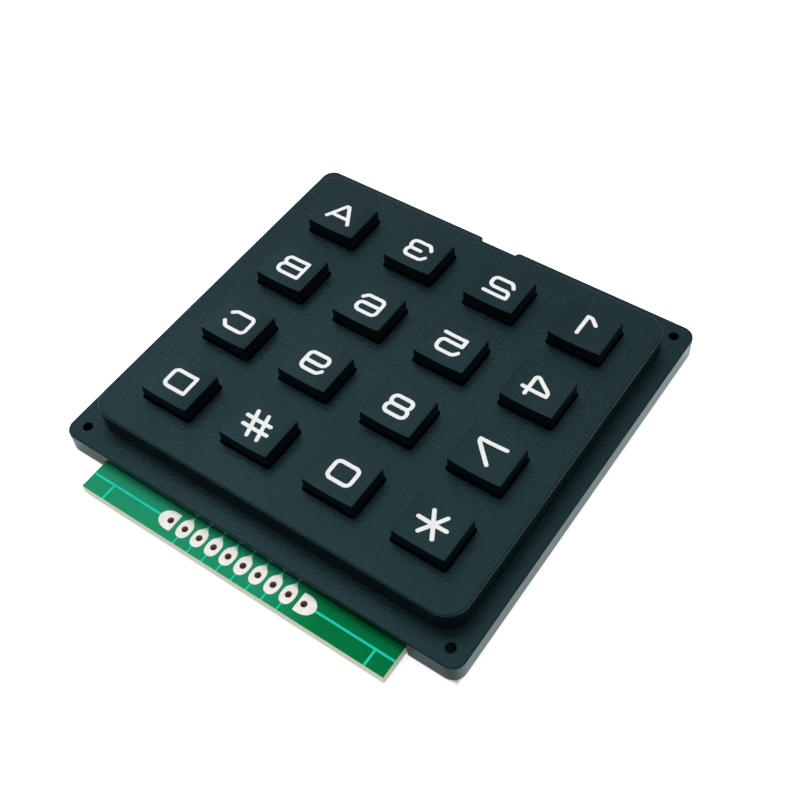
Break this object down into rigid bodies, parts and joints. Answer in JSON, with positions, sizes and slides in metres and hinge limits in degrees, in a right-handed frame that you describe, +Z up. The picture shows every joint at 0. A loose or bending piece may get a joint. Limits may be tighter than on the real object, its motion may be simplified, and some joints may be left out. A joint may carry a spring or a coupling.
{
  "type": "matrix keypad module",
  "caption": "Black panel-mount matrix keypad: a flanged housing with a raised platform, square-set push keys over a rubber membrane, and a board edge with a row of plated header holes.",
  "frame": {"origin": "centre of the four corner holes, in the plane of the flange's underside", "axes": "+X along the front edge to the right, +Y to the back, away from the header row, +Z up out of the keys"},
  "size_m": [0.067, 0.0681, 0.0101],
  "materials": {
    "housing_plastic": "near-black moulded plastic, fine matt grain",
    "key_plastic": "near-black moulded plastic, fine matt grain, a shade lighter than the housing",
    "silicone": "dull grey silicone",
    "carbon_rubber": "dull black conductive rubber",
    "board_mask": "green solder mask over glass fibre board",
    "contact_metal": "thin gold plating",
    "tinned_metal": "dull tinned copper",
    "trace_mask": "copper under green solder mask"
  },
  "bodies": {
    "module": {"housing": "housing_plastic", "rubber_membrane": "silicone", "board": "board_mask", "contact_pads": "contact_metal", "header_pads": "tinned_metal", "board_traces": "trace_mask"},
    "button_1": {"key_1": "key_plastic", "pill_1": "carbon_rubber"},
    "button_2": {"key_2": "key_plastic", "pill_2": "carbon_rubber"},
    "button_3": {"key_3": "key_plastic", "pill_3": "carbon_rubber"},
    "button_a": {"key_a": "key_plastic", "pill_a": "carbon_rubber"},
    "button_4": {"key_4": "key_plastic", "pill_4": "carbon_rubber"},
    "button_5": {"key_5": "key_plastic", "pill_5": "carbon_rubber"},
    "button_6": {"key_6": "key_plastic", "pill_6": "carbon_rubber"},
    "button_b": {"key_b": "key_plastic", "pill_b": "carbon_rubber"},
    "button_7": {"key_7": "key_plastic", "pill_7": "carbon_rubber"},
    "button_8": {"key_8": "key_plastic", "pill_8": "carbon_rubber"},
    "button_9": {"key_9": "key_plastic", "pill_9": "carbon_rubber"},
    "button_c": {"key_c": "key_plastic", "pill_c": "carbon_rubber"},
    "button_star": {"key_star": "key_plastic", "pill_star": "carbon_rubber"},
    "button_0": {"key_0": "key_plastic", "pill_0": "carbon_rubber"},
    "button_hash": {"key_hash": "key_plastic", "pill_hash": "carbon_rubber"},
    "button_d": {"key_d": "key_plastic", "pill_d": "carbon_rubber"}
  },
  "joints": [
    {"name": "press_1", "type": "slide", "parent": "module", "child": "button_1", "axis": [0, 0, -1], "range_m": [0, 0.00115], "stiffness_N_per_m": 1200, "deforming": ["rubber_membrane"]},
    {"name": "press_2", "type": "slide", "parent": "module", "child": "button_2", "axis": [0, 0, -1], "range_m": [0, 0.00115], "stiffness_N_per_m": 1200, "deforming": ["rubber_membrane"]},
    {"name": "press_3", "type": "slide", "parent": "module", "child": "button_3", "axis": [0, 0, -1], "range_m": [0, 0.00115], "stiffness_N_per_m": 1200, "deforming": ["rubber_membrane"]},
    {"name": "press_a", "type": "slide", "parent": "module", "child": "button_a", "axis": [0, 0, -1], "range_m": [0, 0.00115], "stiffness_N_per_m": 1200, "deforming": ["rubber_membrane"]},
    {"name": "press_4", "type": "slide", "parent": "module", "child": "button_4", "axis": [0, 0, -1], "range_m": [0, 0.00115], "stiffness_N_per_m": 1200, "deforming": ["rubber_membrane"]},
    {"name": "press_5", "type": "slide", "parent": "module", "child": "button_5", "axis": [0, 0, -1], "range_m": [0, 0.00115], "stiffness_N_per_m": 1200, "deforming": ["rubber_membrane"]},
    {"name": "press_6", "type": "slide", "parent": "module", "child": "button_6", "axis": [0, 0, -1], "range_m": [0, 0.00115], "stiffness_N_per_m": 1200, "deforming": ["rubber_membrane"]},
    {"name": "press_b", "type": "slide", "parent": "module", "child": "button_b", "axis": [0, 0, -1], "range_m": [0, 0.00115], "stiffness_N_per_m": 1200, "deforming": ["rubber_membrane"]},
    {"name": "press_7", "type": "slide", "parent": "module", "child": "button_7", "axis": [0, 0, -1], "range_m": [0, 0.00115], "stiffness_N_per_m": 1200, "deforming": ["rubber_membrane"]},
    {"name": "press_8", "type": "slide", "parent": "module", "child": "button_8", "axis": [0, 0, -1], "range_m": [0, 0.00115], "stiffness_N_per_m": 1200, "deforming": ["rubber_membrane"]},
    {"name": "press_9", "type": "slide", "parent": "module", "child": "button_9", "axis": [0, 0, -1], "range_m": [0, 0.00115], "stiffness_N_per_m": 1200, "deforming": ["rubber_membrane"]},
    {"name": "press_c", "type": "slide", "parent": "module", "child": "button_c", "axis": [0, 0, -1], "range_m": [0, 0.00115], "stiffness_N_per_m": 1200, "deforming": ["rubber_membrane"]},
    {"name": "press_star", "type": "slide", "parent": "module", "child": "button_star", "axis": [0, 0, -1], "range_m": [0, 0.00115], "stiffness_N_per_m": 1200, "deforming": ["rubber_membrane"]},
    {"name": "press_0", "type": "slide", "parent": "module", "child": "button_0", "axis": [0, 0, -1], "range_m": [0, 0.00115], "stiffness_N_per_m": 1200, "deforming": ["rubber_membrane"]},
    {"name": "press_hash", "type": "slide", "parent": "module", "child": "button_hash", "axis": [0, 0, -1], "range_m": [0, 0.00115], "stiffness_N_per_m": 1200, "deforming": ["rubber_membrane"]},
    {"name": "press_d", "type": "slide", "parent": "module", "child": "button_d", "axis": [0, 0, -1], "range_m": [0, 0.00115], "stiffness_N_per_m": 1200, "deforming": ["rubber_membrane"]}
  ]
}
